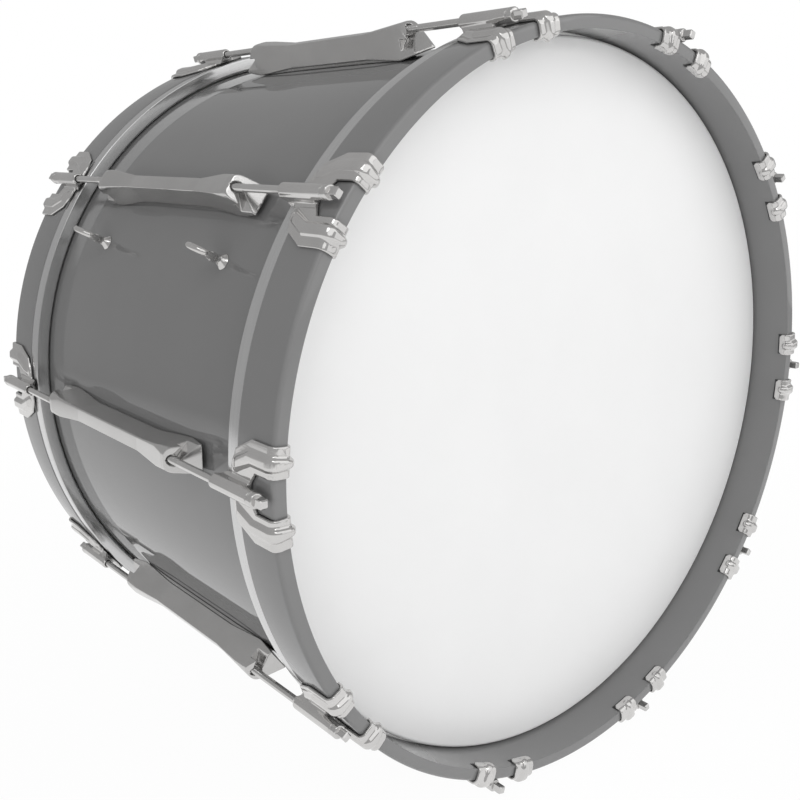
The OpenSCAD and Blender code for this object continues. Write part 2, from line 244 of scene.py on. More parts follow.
def joined(name, parts):
    """One mesh from several (mesh, matrix) pairs."""
    made = [new_object(name, mesh.copy(), matrix) for mesh, matrix in parts]
    bpy.context.view_layer.update()
    with bpy.context.temp_override(active_object=made[0], selected_editable_objects=made):
        bpy.ops.object.join()
    mesh = made[0].data
    mesh.transform(made[0].matrix_world)
    bpy.data.objects.remove(made[0])
    return mesh


def with_modifier(mesh, kind, **settings):
    """The mesh as one modifier leaves it."""
    obj = new_object("work", mesh)
    modifier = obj.modifiers.new("work", kind)
    for key, value in settings.items():
        setattr(modifier, key, value)
    bpy.context.view_layer.update()
    made = bpy.data.meshes.new_from_object(obj.evaluated_get(bpy.context.evaluated_depsgraph_get()))
    bpy.data.objects.remove(obj)
    return made


def smax(a, b, k):
    """The larger of two fields, with the edge between them rounded over k."""
    h = np.maximum(k - np.abs(a - b), 0.0) / k
    return np.maximum(a, b) + h * h * k * 0.25


def smin(a, b, k):
    """The smaller of two fields, with the edge between them rounded over k."""
    return -smax(-a, -b, k)


def slope(field, points, reach=0.02):
    """Value and gradient of a field at points."""
    value = field(*points.T)
    gradient = np.empty_like(points)
    for axis in range(3):
        shift = np.zeros(3)
        shift[axis] = reach
        gradient[:, axis] = field(*(points + shift).T) - field(*(points - shift).T)
    return value, gradient / (2 * reach)


def cast(name, field, start, stop, step, keep=0.35):
    """A casting: the surface where field is zero, found on a grid, drawn onto the field and thinned.

    Each grid cell that the surface crosses gets one point, and each grid edge that it crosses gets one face.
    """
    ticks = [np.arange(a, b + step, step) for a, b in zip(start, stop)]
    value = field(*np.meshgrid(*ticks, indexing="ij"))
    cells = tuple(n - 1 for n in value.shape)
    total = np.zeros(cells + (3,))
    number = np.zeros(cells)
    cuts = []
    for a in range(3):
        b, c = (a + 1) % 3, (a + 2) % 3
        lower = np.take(value, np.arange(value.shape[a] - 1), axis=a)
        upper = np.take(value, np.arange(1, value.shape[a]), axis=a)
        cut = (lower < 0) != (upper < 0)
        cuts.append(cut)
        along = np.where(cut, lower / np.where(cut, lower - upper, 1.0), 0.0)
        for ob in (0, 1):
            for oc in (0, 1):
                window = [slice(None)] * 3
                window[b] = slice(ob, ob + cells[b])
                window[c] = slice(oc, oc + cells[c])
                here = cut[tuple(window)]
                total[..., a] += along[tuple(window)]
                total[..., b] += ob * here
                total[..., c] += oc * here
                number += here
    active = number > 0
    index = np.full(cells, -1)
    index[active] = np.arange(active.sum())
    points = np.argwhere(active) + total[active] / number[active][:, None]
    points = points * step + np.array(start)
    quads = []
    for a in range(3):
        b, c = (a + 1) % 3, (a + 2) % 3
        spots = np.argwhere(cuts[a])
        inside_b = (spots[:, b] > 0) & (spots[:, b] < cells[b])
        inside_c = (spots[:, c] > 0) & (spots[:, c] < cells[c])
        spots = spots[inside_b & inside_c]
        corners = []
        for ob, oc in ((1, 1), (0, 1), (0, 0), (1, 0)):
            cell = spots.copy()
            cell[:, b] -= ob
            cell[:, c] -= oc
            corners.append(index[tuple(cell.T)])
        quads.append(np.stack(corners, axis=1))
    quads = np.concatenate(quads)
    quads = quads[(quads >= 0).all(axis=1)]
    for _ in range(3):
        found, gradient = slope(field, points)
        pull = found / np.maximum((gradient ** 2).sum(axis=1), 0.2)
        points -= gradient * np.clip(pull, -step / 2, step / 2)[:, None]
    corner = [points[quads[:, k]] for k in range(4)]
    normal = np.cross(corner[2] - corner[0], corner[3] - corner[1])
    gradient = slope(field, points[quads].mean(axis=1))[1]
    wrong = (normal * gradient).sum(axis=1) < 0
    quads[wrong] = quads[wrong][:, ::-1]
    mesh = with_modifier(mesh_from(name, points, quads.tolist(), 180), "DECIMATE", ratio=keep)
    mesh.name = name
    mesh.shade_smooth()
    found = np.empty(len(mesh.vertices) * 3)
    mesh.vertices.foreach_get("co", found)
    normals = slope(field, found.reshape(-1, 3) / MM)[1]
    normals /= np.maximum(np.linalg.norm(normals, axis=1), 1e-9)[:, None]
    mesh.normals_split_custom_set_from_vertices(normals.tolist())
    return mesh


def polygon_field(x, y, corners):
    """Signed distance from points to a polygon, negative inside."""
    nearest = np.full(x.shape, np.inf)
    sign = np.ones(x.shape)
    for (ax, ay), (bx, by) in zip(corners, corners[-1:] + corners[:-1]):
        ex, ey = bx - ax, by - ay
        wx, wy = x - ax, y - ay
        t = np.clip((wx * ex + wy * ey) / (ex * ex + ey * ey), 0, 1)
        nearest = np.minimum(nearest, (wx - ex * t) ** 2 + (wy - ey * t) ** 2)
        above, below = y >= ay, y < by
        left = ex * wy > ey * wx
        flip = (above & below & left) | (~above & ~below & ~left)
        sign = np.where(flip, -sign, sign)
    return sign * np.sqrt(nearest)


def path_field(x, y, points, widths):
    """Signed distance from points to a band along a path, with its half-width given at each of its points."""
    field = np.full(x.shape, np.inf)
    for (ax, ay), (bx, by), wa, wb in zip(points, points[1:], widths, widths[1:]):
        ex, ey = bx - ax, by - ay
        t = np.clip(((x - ax) * ex + (y - ay) * ey) / (ex * ex + ey * ey), 0, 1)
        away = np.hypot(x - ax - ex * t, y - ay - ey * t)
        field = np.minimum(field, away - wa - (wb - wa) * t)
    return field


# ---------------------------------------------------------------- materials

METALLIC = 0.85


class Shader:
    """A short way to write a node material."""

    def __init__(self, name):
        self.material = bpy.data.materials.new(name)
        self.material.use_nodes = True
        self.tree = self.material.node_tree
        self.tree.nodes.clear()
        self.surface = self.node("ShaderNodeBsdfPrincipled")
        output = self.node("ShaderNodeOutputMaterial")
        self.link(self.surface.outputs["BSDF"], output.inputs["Surface"])
        self.where = self.node("ShaderNodeTexCoord").outputs["Object"]

    def node(self, kind, **settings):
        made = self.tree.nodes.new(kind)
        for key, value in settings.items():
            setattr(made, key, value)
        return made

    def link(self, source, target):
        self.tree.links.new(source, target)

    def set(self, **values):
        for key, value in values.items():
            self.surface.inputs[key.replace("_", " ")].default_value = value

    def ringed(self, around, along, outward):
        """Coordinates (angle, distance along the drum, radius), each times a factor."""
        split = self.node("ShaderNodeSeparateXYZ")
        self.link(self.where, split.inputs[0])
        angle = self.node("ShaderNodeMath", operation="ARCTAN2")
        self.link(split.outputs["X"], angle.inputs[0])
        self.link(split.outputs["Z"], angle.inputs[1])
        flat = self.node("ShaderNodeCombineXYZ")
        self.link(split.outputs["X"], flat.inputs["X"])
        self.link(split.outputs["Z"], flat.inputs["Y"])
        length = self.node("ShaderNodeVectorMath", operation="LENGTH")
        self.link(flat.outputs[0], length.inputs[0])
        both = self.node("ShaderNodeCombineXYZ")
        for source, factor, target in (
                (angle.outputs[0], around, "X"),
                (split.outputs["Y"], along, "Y"),
                (length.outputs["Value"], outward, "Z")):
            times = self.node("ShaderNodeMath", operation="MULTIPLY")
            times.inputs[1].default_value = factor
            self.link(source, times.inputs[0])
            self.link(times.outputs[0], both.inputs[target])
        return both.outputs[0]

    def noise(self, scale, detail, vector=None):
        made = self.node("ShaderNodeTexNoise")
        made.inputs["Scale"].default_value = scale
        made.inputs["Detail"].default_value = detail
        self.link(vector if vector is not None else self.where, made.inputs["Vector"])
        return made.outputs["Fac"]

    def between(self, factor, low_value, high_value):
        """A number or colour between two, over the middle of a noise's range."""
        made = self.node("ShaderNodeMapRange")
        made.inputs["From Min"].default_value = 0.3
        made.inputs["From Max"].default_value = 0.7
        self.link(factor, made.inputs["Value"])
        if not isinstance(low_value, tuple):
            made.inputs["To Min"].default_value = low_value
            made.inputs["To Max"].default_value = high_value
            return made.outputs["Result"]
        mix = self.node("ShaderNodeMix", data_type="RGBA")
        self.link(made.outputs["Result"], mix.inputs["Factor"])
        mix.inputs[6].default_value = low_value + (1,)
        mix.inputs[7].default_value = high_value + (1,)
        return mix.outputs[2]

    def drive(self, socket, value):
        self.link(value, self.surface.inputs[socket])

    def bump(self, height, distance):
        """Small relief, its height in metres."""
        made = self.node("ShaderNodeBump")
        made.inputs["Distance"].default_value = distance
        self.link(height, made.inputs["Height"])
        self.link(made.outputs["Normal"], self.surface.inputs["Normal"])


def grey(level, warmth=0.0):
    """Linear colour of an sRGB grey level from 0 to 255, warmer by a small fraction."""
    s = level / 255
    v = s / 12.92 if s <= 0.04045 else ((s + 0.055) / 1.055) ** 2.4
    return (v * (1 + warmth), v, v * (1 - warmth))


def lacquer(name, level):
    """Grey gloss lacquer: a faint cloudiness, a little orange peel, and a clear coat."""
    s = Shader(name)
    s.drive("Base Color", s.between(s.noise(6.0, 3.0), grey(level - 2), grey(level + 2)))
    s.drive("Roughness", s.between(s.noise(40.0, 4.0), 0.3, 0.36))
    s.set(Coat_Weight=1.0, Coat_Roughness=0.015, Coat_IOR=1.52, Specular_IOR_Level=0.0)
    return s.material


def plating(name, level, warmth, roughness, peel=0.000004, scale=60.0):
    """Plated metal, slightly uneven from the casting or bar below: peel is that relief in metres."""
    s = Shader(name)
    s.set(Metallic=METALLIC)
    s.drive("Base Color", s.between(s.noise(35.0, 3.0), grey(level - 4, warmth), grey(level + 4, warmth)))
    s.drive("Roughness", s.between(s.noise(70.0, 4.0), roughness * 0.8, roughness * 1.2))
    s.bump(s.noise(scale, 3.0), peel)
    return s.material


def spun(name, level, roughness):
    """Aluminium band, brushed along its length."""
    s = Shader(name)
    s.set(Metallic=METALLIC)
    lines = s.noise(1.0, 4.0, s.ringed(9.0, 5200.0, 5200.0))
    s.drive("Base Color", s.between(lines, grey(level - 8), grey(level + 8)))
    s.drive("Roughness", s.between(lines, roughness * 0.8, roughness * 1.25))
    s.bump(lines, 0.000006)
    return s.material


def film(name, level):
    """Opaque white polyester film: even, with a trace of mottle in its coating."""
    s = Shader(name)
    s.drive("Base Color", s.between(s.noise(12.0, 3.0), grey(level - 1), grey(level + 1)))
    s.drive("Roughness", s.between(s.noise(30.0, 3.0), 0.32, 0.38))
    return s.material


def rubber(name, level):
    """Dark moulded rubber with a fine grain."""
    s = Shader(name)
    s.drive("Base Color", s.between(s.noise(300.0, 4.0), grey(level - 6), grey(level + 8)))
    s.drive("Roughness", s.between(s.noise(500.0, 2.0), 0.55, 0.75))
    s.bump(s.noise(1500.0, 2.0), 0.00002)
    return s.material


SHELL_LACQUER = lacquer("shell_lacquer", 120)
HOOP_LACQUER = lacquer("hoop_lacquer", 122)
HEAD_FILM = film("head_film", 234)
FLESH_METAL = spun("flesh_aluminium", 206, 0.14)
LUG_METAL = plating("lug_metal", 194, 0.012, 0.18, peel=0.000001, scale=40.0)
CLAW_METAL = plating("claw_chrome", 204, 0.014, 0.08)
ROD_METAL = plating("rod_chrome", 204, 0.012, 0.06)
ZINC_METAL = plating("zinc_steel", 180, 0.0, 0.3, peel=0.00001, scale=300.0)
PAD_RUBBER = rubber("pad_rubber", 40)


# ---------------------------------------------------------------- shell, hoops and heads

ROW_LENGTH = 12
DRILL_SIDES = 64
DRILL_SPARE = 6


def drill_bit(y, radius):
    """A round bar through the shell's wall, in a station's own frame."""
    n = DRILL_SIDES
    ring = np.arange(n) * 2 * math.pi / n
    circle = np.stack([radius * np.cos(ring), y + radius * np.sin(ring)], axis=1)
    points = [(x, v, z) for z in (-SHELL_WALL - DRILL_SPARE, DRILL_SPARE) for x, v in circle]
    sides = [(k, (k + 1) % n, n + (k + 1) % n, n + k) for k in range(n)]
    caps = [tuple(range(n - 1, -1, -1)), tuple(range(n, 2 * n))]
    return mesh_from("drill", points, sides + caps)


def make_shell():
    """The ply shell, with rows of faces along it and its vent and eye bolt holes cut through."""
    inner = SHELL_R - SHELL_WALL
    half = [
        (inner, EDGE_Y - 4, 1.0), (SHELL_R - 3.2, EDGE_Y, 0.4), (SHELL_R - 2, EDGE_Y, 0.4),
        (SHELL_R, EDGE_Y - 2, 1.2)]
    corners = half + [(r, -y, c) for r, y, c in reversed(half)]
    ring = rounded(corners)
    outline = []
    for (r, y), (next_r, next_y) in zip(ring, ring[1:] + ring[:1]):
        outline.append((r, y))
        rows = int(abs(next_y - y) // ROW_LENGTH)
        outline += [
            (r + (next_r - r) * k / (rows + 1), y + (next_y - y) * k / (rows + 1))
            for k in range(1, rows + 1)]
    mesh = lathe("shell_solid", outline)
    bores = [(VENT_ANGLE, 0.0, VENT_BORE_R)] + [(EYE_ANGLE, s * EYE_Y, EYE_BORE_R) for s in (-1, 1)]
    drills = [(drill_bit(y, radius), at_station(angle)) for angle, y, radius in bores]
    drill = new_object("drills", joined("drills", drills))
    mesh = with_modifier(mesh, "BOOLEAN", operation="DIFFERENCE", solver="EXACT", object=drill)
    bpy.data.objects.remove(drill)
    mesh.name = "shell_solid"
    mesh.shade_smooth()
    mesh.set_sharp_from_angle(angle=math.radians(30))
    piece("shell_ply", mesh, SHELL_LACQUER, "shell", "shell")


def for_end(mesh, side):
    """The mesh, drawn for the rear end, as the given end needs it."""
    return mesh if side > 0 else mirrored(mesh)


def make_hoop(end, side):
    """A counterhoop, with a soft outer edge on its face."""
    outline = rounded([
        (HOOP_IN, HOOP_START, 0), (HOOP_OUT, HOOP_START, 0.6), (HOOP_OUT, HOOP_FACE, 3.0),
        (HOOP_IN, HOOP_FACE, 0.5)])
    mesh = for_end(lathe(f"{end}_hoop_solid", outline), side)
    piece(f"{end}_counterhoop", mesh, HOOP_LACQUER, f"{end}_hoop", f"{end}_hoop")


def make_flesh_hoop(end, side):
    """The channel that holds the film, open towards the counterhoop."""
    wall = 2.2
    outline = rounded([
        (FILM_OUT, FLESH_START, 1.6), (FLESH_OUT, FLESH_START, 1.0), (FLESH_OUT, HOOP_START, 0.5),
        (FLESH_OUT - wall, HOOP_START, 0), (FLESH_OUT - wall, FLESH_START + wall, 0.5),
        (FILM_OUT + wall, FLESH_START + wall, 0.5), (FILM_OUT + wall, HOOP_START, 0),
        (FILM_OUT, HOOP_START, 0)])
    mesh = for_end(lathe(f"{end}_flesh_solid", outline), side)
    piece(f"{end}_flesh_band", mesh, FLESH_METAL, f"{end}_hoop", f"{end}_flesh_hoop")


def make_head(end, side):
    """The film, flat across the shell and bent down into the flesh hoop."""
    bend = 3.0
    outline = rounded([
        (0.02, FILM_TOP - FILM_T, 0), (FILM_OUT - FILM_T, FILM_TOP - FILM_T, bend - FILM_T),
        (FILM_OUT - FILM_T, FLESH_START + 2, 0), (FILM_OUT, FLESH_START + 2, 0),
        (FILM_OUT, FILM_TOP, bend), (0.02, FILM_TOP, 0)])
    mesh = for_end(lathe(f"{end}_film_solid", outline), side)
    piece(f"{end}_film", mesh, HEAD_FILM, f"{end}_hoop", f"{end}_head")


# ---------------------------------------------------------------- lugs

# The side towards which each station's slots open.
SLOT_SIDES = (1, 1, -1, -1, -1, 1, 1, 1, -1, -1)
SLOT_FALL = math.radians(44)
SLOT_HALF = 2.7
ROD_HOLE_R = 3.1
NUT_POCKET_R = 4.0
SIDE_DRAFT = 0.073
CROWN = 0.008
# Seen from the side: distance from the lug's middle, height above the shell.
LUG_SIDE = [
    (-1, 21.8), (51, 21.8), (91, 25.4), (95, 25.8), (98.6, 25.6), (99.8, 24.6), (113.2, 4.7), (113.3, 4.1),
    (112.8, 3.5), (95, 0.4), (80, 1.2), (57, 2.7), (50, 3.0), (-1, 3.0)]
# Seen from above: distance from the lug's middle, half-width at its foot.
LUG_PLAN = [
    (0, 6.9), (51, 6.9), (62, 7.7), (79, 9.3), (87, 10.0), (92, 10.3), (98, 10.5), (104, 10.6), (116, 10.6)]
# The top's height, and how softly it meets the sides.
LUG_TOP = [(0, 21.8), (51, 21.8), (91, 25.4), (95, 25.8), (99, 25.8)]
LUG_SOFT = [(60, 0.9), (84, 1.6), (97, 5.5)]


def table(x, rows):
    """A value read between the (x, value) rows of a table."""
    return np.interp(x, *zip(*rows))


def lug_field(x, y, z):
    """The bow-tie casting: a narrow waist, and wide ends that slope down to a toe under each rod.

    Its foot is set in a little. A slot beside each rod's hole lets the rod swing out sideways, towards +x.
    """
    across, along = np.abs(x), np.abs(y)
    wide = table(along, LUG_PLAN)
    sides = across - wide + SIDE_DRAFT * z
    profile = polygon_field(along, z, LUG_SIDE)
    soft = 0.8 + (table(along, LUG_SOFT) - 0.8) * np.clip((z - 9) / 8, 0, 1)
    crowned = smax(z + CROWN * x * x - table(along, LUG_TOP), sides, soft)
    body = smax(profile, crowned, 0.6)
    foot = np.maximum(np.maximum(across - wide + 1.9, along - 92.5), z - 5.0)
    body = smin(body, foot, 0.6)
    radius = np.hypot(x, z - ROD_RISE)
    body = smax(body, -smax(radius - NUT_POCKET_R, 85 - along, 0.4), 0.5)
    body = smax(body, -smax(radius - ROD_HOLE_R, 75 - along, 0.4), 0.4)
    down = x * math.cos(SLOT_FALL) - (z - ROD_RISE) * math.sin(SLOT_FALL)
    level = x * math.sin(SLOT_FALL) + (z - ROD_RISE) * math.cos(SLOT_FALL)
    slot = smax(smax(np.abs(level) - SLOT_HALF, -down, 0.3), 98.5 - along, 0.6)
    body = smax(body, -slot, 0.5)
    shell = SHELL_R + 0.08 - np.hypot(x, z + SHELL_R)
    return smax(body, shell, 0.4)


def make_lugs():
    """The ten castings, in a right-hand and a left-hand form that differ in their slots."""
    right = cast("lug_solid_right", lug_field, (-12, -116, -1.5), (12, 116, 28), 0.5)
    meshes = {1: right, -1: mirrored(right, (-1, 1, 1))}
    for i in range(1, LUG_COUNT + 1):
        piece(f"lug_casting_{i}", meshes[SLOT_SIDES[i - 1]], LUG_METAL, "shell", f"lug_{i}",
              at_station(station_angle(i)))


# ---------------------------------------------------------------- claws

PAD_T = 0.4
CLAW_T = 2.3
RIB_H = 2.5
TUBE_R = 5.0
TUBE_BORE_R = 3.2
# How far inside the counterhoop's outline the claw's bends have their centres.
BEND_R = 2.5
TAB_LENGTH = 6.8
HOOK_IN = 12.5
HOOK_OUT = 33
RIB_MIDDLE = 22


def claw_field(x, y, z):
    """The forked claw: a tube over a keel, two arms that wrap the counterhoop, and a rib along each.

    An arm is laid out flat. There, across is the distance round the drum from the claw's middle. The path
    runs from the drum's middle along it, over the counterhoop's face and back inside. Above is the height
    over the counterhoop.
    """
    radius = np.hypot(x, z + SHELL_R)
    across = np.abs(np.arctan2(x, z + SHELL_R)) * HOOP_OUT
    away_r = np.abs(radius - (HOOP_OUT + HOOP_IN) / 2) - (HOOP_OUT - HOOP_IN) / 2 + BEND_R
    away_y = y - HOOP_FACE + BEND_R
    outside = np.hypot(np.maximum(away_r, 0), np.maximum(away_y, 0))
    above = outside + np.minimum(np.maximum(away_r, away_y), 0) - BEND_R
    depth = HOOP_OUT - np.clip(radius, HOOP_IN, HOOP_OUT)
    reach = np.minimum(y, HOOP_FACE)
    path = np.where(radius < HOOP_IN + 5, 2 * HOOP_FACE - reach + depth, reach + depth)
    tab_end = HOOP_FACE + (HOOP_OUT - HOOP_IN) + TAB_LENGTH
    knee = HOOP_START + 19
    outline = [
        (-1, HOOP_START - 3), (12, HOOP_START - 3), (24.5, HOOP_START + 2), (HOOK_OUT, knee),
        (HOOK_OUT, tab_end - 2.5), (HOOK_OUT - 2.5, tab_end), (HOOK_IN + 2.5, tab_end),
        (HOOK_IN, tab_end - 2.5), (HOOK_IN, knee + 5), (4, knee - 1.5), (-1, knee - 1.5)]
    plan = polygon_field(across, path, outline)
    plate = smax(np.abs(above - PAD_T - CLAW_T / 2) - CLAW_T / 2, plan, 1.2)
    centre = [
        (14.5, HOOP_START + 3), (RIB_MIDDLE, knee + 1), (RIB_MIDDLE, HOOP_FACE),
        (RIB_MIDDLE, HOOP_FACE + 9.5)]
    band = path_field(across, path, centre, [3.6, 4.2, 4.2, 3.2])
    ramp = PAD_T + CLAW_T + RIB_H * np.clip((path - HOOP_START - 1) / 5, 0.0, 1)
    flank = band + 0.6 * (above - PAD_T - CLAW_T - 1.0)
    rib = smax(np.maximum(above - ramp, PAD_T + 0.5 - above), flank, 1.6)
    body = smin(plate, rib, 1.4)
    rod = np.hypot(x, z - ROD_RISE)
    tube = smax(smax(rod - TUBE_R, y - (WASHER_Y - 0.1), 0.6), CLAW_BACK + 1.8 - y, 2.4)
    lift = np.clip((ROD_RISE - z) / (ROD_RISE - (HOOP_OUT - SHELL_R)), 0, 1)
    keel = smax(np.abs(x) - 4.6 - 3.6 * lift * lift, z - ROD_RISE, 0.5)
    keel = smax(keel, HOOP_OUT - SHELL_R + PAD_T + 0.6 - z, 0.5)
    keel = smax(keel, np.maximum(y - knee + 1.2, CLAW_BACK + 2.2 + 0.8 * (ROD_RISE - z) - y), 1.0)
    body = smin(body, smin(tube, keel, 2.4), 1.6)
    return smax(body, TUBE_BORE_R - rod, 0.5)


def make_claws():
    """Twenty claws from one casting, mirrored for the front end."""
    base = cast("rear_claw_solid", claw_field, (-34, CLAW_BACK - 2, -3.5), (34, CLAW_FRONT + 2, 27), 0.6)
    for end, side in ENDS:
        mesh = for_end(base, side)
        for i in range(1, LUG_COUNT + 1):
            piece(f"{end}_claw_{i}", mesh, CLAW_METAL, f"{end}_hoop", f"{end}_claws",
                  at_station(station_angle(i)))


# ---------------------------------------------------------------- tension rods

# A bar's outline stops just short of its axis, so that no face has zero area.
AXIS_R = 0.001


def turned_bar(name, outline, segments=40):
    """Turns (radius, y) points, from one end of a bar to the other, about its own axis."""
    return lathe(name, [(AXIS_R, outline[0][1])] + outline + [(AXIS_R, outline[-1][1])], segments, 30)


def thread(name, start, stop, steps=20):
    """A V thread from y = start to stop, as one helical ridge over the rod's core."""
    profile = ((ROD_CORE_R, -0.5), (ROD_R, -0.07), (ROD_R, 0.07), (ROD_CORE_R, 0.5))
    count = int((stop - start) / THREAD_PITCH * steps)
    points, faces = [], []
    for k in range(count + 1):
        a = 2 * math.pi * k / steps
        y = start + THREAD_PITCH * k / steps
        for radius, shift in profile:
            points.append((radius * math.sin(a), y + shift * THREAD_PITCH, radius * math.cos(a)))
        if k:
            for m in range(3):
                faces.append((4 * k - 4 + m, 4 * k - 3 + m, 4 * k + 1 + m, 4 * k + m))
    faces += [(3, 2, 1, 0), (4 * count, 4 * count + 1, 4 * count + 2, 4 * count + 3)]
    return mesh_from(name, points, faces, 60)


def key_head(name, start, stop):
    """The square head a drum key fits, with broken corners and a chamfered end."""
    points, faces = [], []
    for y, shrink in ((start, 0), (stop - 0.9, 0), (stop, 0.75)):
        h = KEY_SIDE / 2 - shrink
        c = 0.55
        ring = [
            (h, h - c), (h - c, h), (-h + c, h), (-h, h - c),
            (-h, -h + c), (-h + c, -h), (h - c, -h), (h, -h + c)]
        points += [(x, y, z) for x, z in ring]
    for row in (0, 8):
        for k in range(8):
            n = (k + 1) % 8
            faces.append((row + k, row + n, row + 8 + n, row + 8 + k))
    faces += [tuple(range(7, -1, -1)), tuple(range(16, 24))]
    return mesh_from(name, points, faces, 20)


def make_rods():
    """The tension rods, each with its thread, collar and key head, and the washers under the collars."""
    thread_end = 112.0
    shaft = turned_bar("shaft", [
        (ROD_R - 1.2, ROD_TIP), (ROD_CORE_R, ROD_TIP + 0.8), (ROD_CORE_R, thread_end - 0.4),
        (ROD_R, thread_end + 0.4), (ROD_R, WASHER_END + 0.4)])
    collar_start = WASHER_END + 0.1
    collar_end = collar_start + COLLAR_T
    collar = lathe("collar", rounded([
        (AXIS_R, collar_start, 0), (COLLAR_R, collar_start, 0.5), (COLLAR_R, collar_end, 1.3),
        (AXIS_R, collar_end, 0)]), 48)
    head = key_head("key", collar_end - 0.6, ROD_END)
    here = Matrix.Identity(4)
    base = joined("rear_rod_solid", [
        (shaft, here), (collar, here), (head, here), (thread("thread", ROD_TIP + 1.5, thread_end), here)])
    base.name = "rear_rod_solid"
    hole_r = ROD_R + 0.06
    washer = lathe("rear_washer_solid", rounded([
        (hole_r, WASHER_Y, 0), (WASHER_R, WASHER_Y, 0.3), (WASHER_R, WASHER_END, 0.3),
        (hole_r, WASHER_END, 0)]), 48)
    for end, side in ENDS:
        rod_mesh = for_end(base, side)
        washer_mesh = for_end(washer, side)
        for i in range(1, LUG_COUNT + 1):
            place = at_station(station_angle(i)) @ Matrix.Translation((0, 0, ROD_RISE * MM))
            rod = f"{end}_rod_{i}"
            piece(f"{end}_tension_rod_{i}", rod_mesh, ROD_METAL, rod, rod, place)
            piece(f"{end}_washer_{i}", washer_mesh, ROD_METAL, f"{end}_hoop", f"{end}_rod_washers",
                  place)


# ---------------------------------------------------------------- eye bolts

def eye_field(x, y, z):
    """A flared foot on the shell, a short stem, and a ring turned a little about it."""
    along = y * math.cos(EYE_TURN) - x * math.sin(EYE_TURN)
    through = x * math.cos(EYE_TURN) + y * math.sin(EYE_TURN)
    stem_r = np.hypot(x, y)
    rise = np.clip(z / 7.0, 0, 1)
    flare = 3.1 + 3.1 * (1 - rise) ** 2.2
    foot = smax(smax(stem_r - flare, 0.1 - z, 0.5), z - 10.5, 0.5)
    from_middle = np.hypot(along, z - EYE_RISE)
    hole = EYE_HOLE_R - from_middle
    ring = smax(np.hypot(from_middle - RING_R, through) - WIRE_R, hole, 0.3)
    return smax(smin(foot, ring, 2.2), np.where(z > 8, hole, -1e3), 0.3)


def make_eye_bolts():
    """The forged eyes above the shell, each with its shank through the wall."""
    top = cast("eye_top", eye_field, (-8, -13, -0.5), (8, 13, 31), 0.4, 0.5)
    shank = lathe("eye_shank", [
        (AXIS_R, -1.5), (EYE_SHANK_R, -1.5), (EYE_SHANK_R, 16.0), (EYE_SHANK_R - 0.6, 16.6),
        (AXIS_R, 16.6)], 32)
    down = Matrix.Rotation(-math.pi / 2, 4, "X")
    whole = joined("eye_bolt_solid", [(top, Matrix.Identity(4)), (shank, down)])
    for side in (-1, 1):
        place = Matrix.Rotation(EYE_ANGLE, 4, "Y") @ Matrix.Translation((0, side * EYE_Y * MM, SHELL_R * MM))
        name = "front" if side < 0 else "rear"
        piece(f"eye_bolt_{name}", whole, CLAW_METAL, "shell", "eye_bolts", place)


# ---------------------------------------------------------------- what stays as the CAD made it

def finish_cad_nodes():
    """Materials for the nodes that the scene takes over unchanged."""
    finishes = {
        "swivel_nuts": ROD_METAL,
        "lug_screws": ZINC_METAL,
        "lug_washers": ZINC_METAL,
        "eye_bolt_washers": ZINC_METAL,
        "eye_bolt_nuts": ZINC_METAL,
        "vent_grommet": ROD_METAL,
        "front_claw_pads": PAD_RUBBER,
        "rear_claw_pads": PAD_RUBBER}
    for name, material in finishes.items():
        mesh = frame["nodes"][name].data
        mesh.materials.clear()
        mesh.materials.append(material)


# ---------------------------------------------------------------- floor, light and camera

FLOOR_HALF = 14.0
# Brightness that mirrored rays meet away from the drum, where the camera itself always meets pure white.
FAR_LEVEL = 0.42
WORLD_STRENGTH = 0.68
DIRECT = ["Is Camera Ray", "Is Glossy Ray", "Is Transmission Ray"]


def cleared(tree, output_kind):
    """The tree emptied down to a new output node."""
    tree.nodes.clear()
    return tree.nodes.new(output_kind)


def maths(tree, operation, *values):
    """A Math node's result, its inputs given as sockets or numbers."""
    made = tree.nodes.new("ShaderNodeMath")
    made.operation = operation
    for value, target in zip(values, made.inputs):
        if isinstance(value, float):
            target.default_value = value
        else:
            tree.links.new(value, target)
    return made.outputs[0]


def seen_by(tree, kinds):
    """1 for rays of these kinds, and 0 for all others."""
    path = tree.nodes.new("ShaderNodeLightPath")
    value = path.outputs[kinds[0]]
    for kind in kinds[1:]:
        value = maths(tree, "MAXIMUM", value, path.outputs[kind])
    return value


def fade(tree, distance, start, stop, near_value, far_value):
    """A value that goes smoothly from one to another between two distances."""
    made = tree.nodes.new("ShaderNodeMapRange")
    made.interpolation_type = "SMOOTHSTEP"
    made.inputs["From Min"].default_value = start
    made.inputs["From Max"].default_value = stop
    made.inputs["To Min"].default_value = near_value
    made.inputs["To Max"].default_value = far_value
    tree.links.new(distance, made.inputs["Value"])
    return made.outputs["Result"]


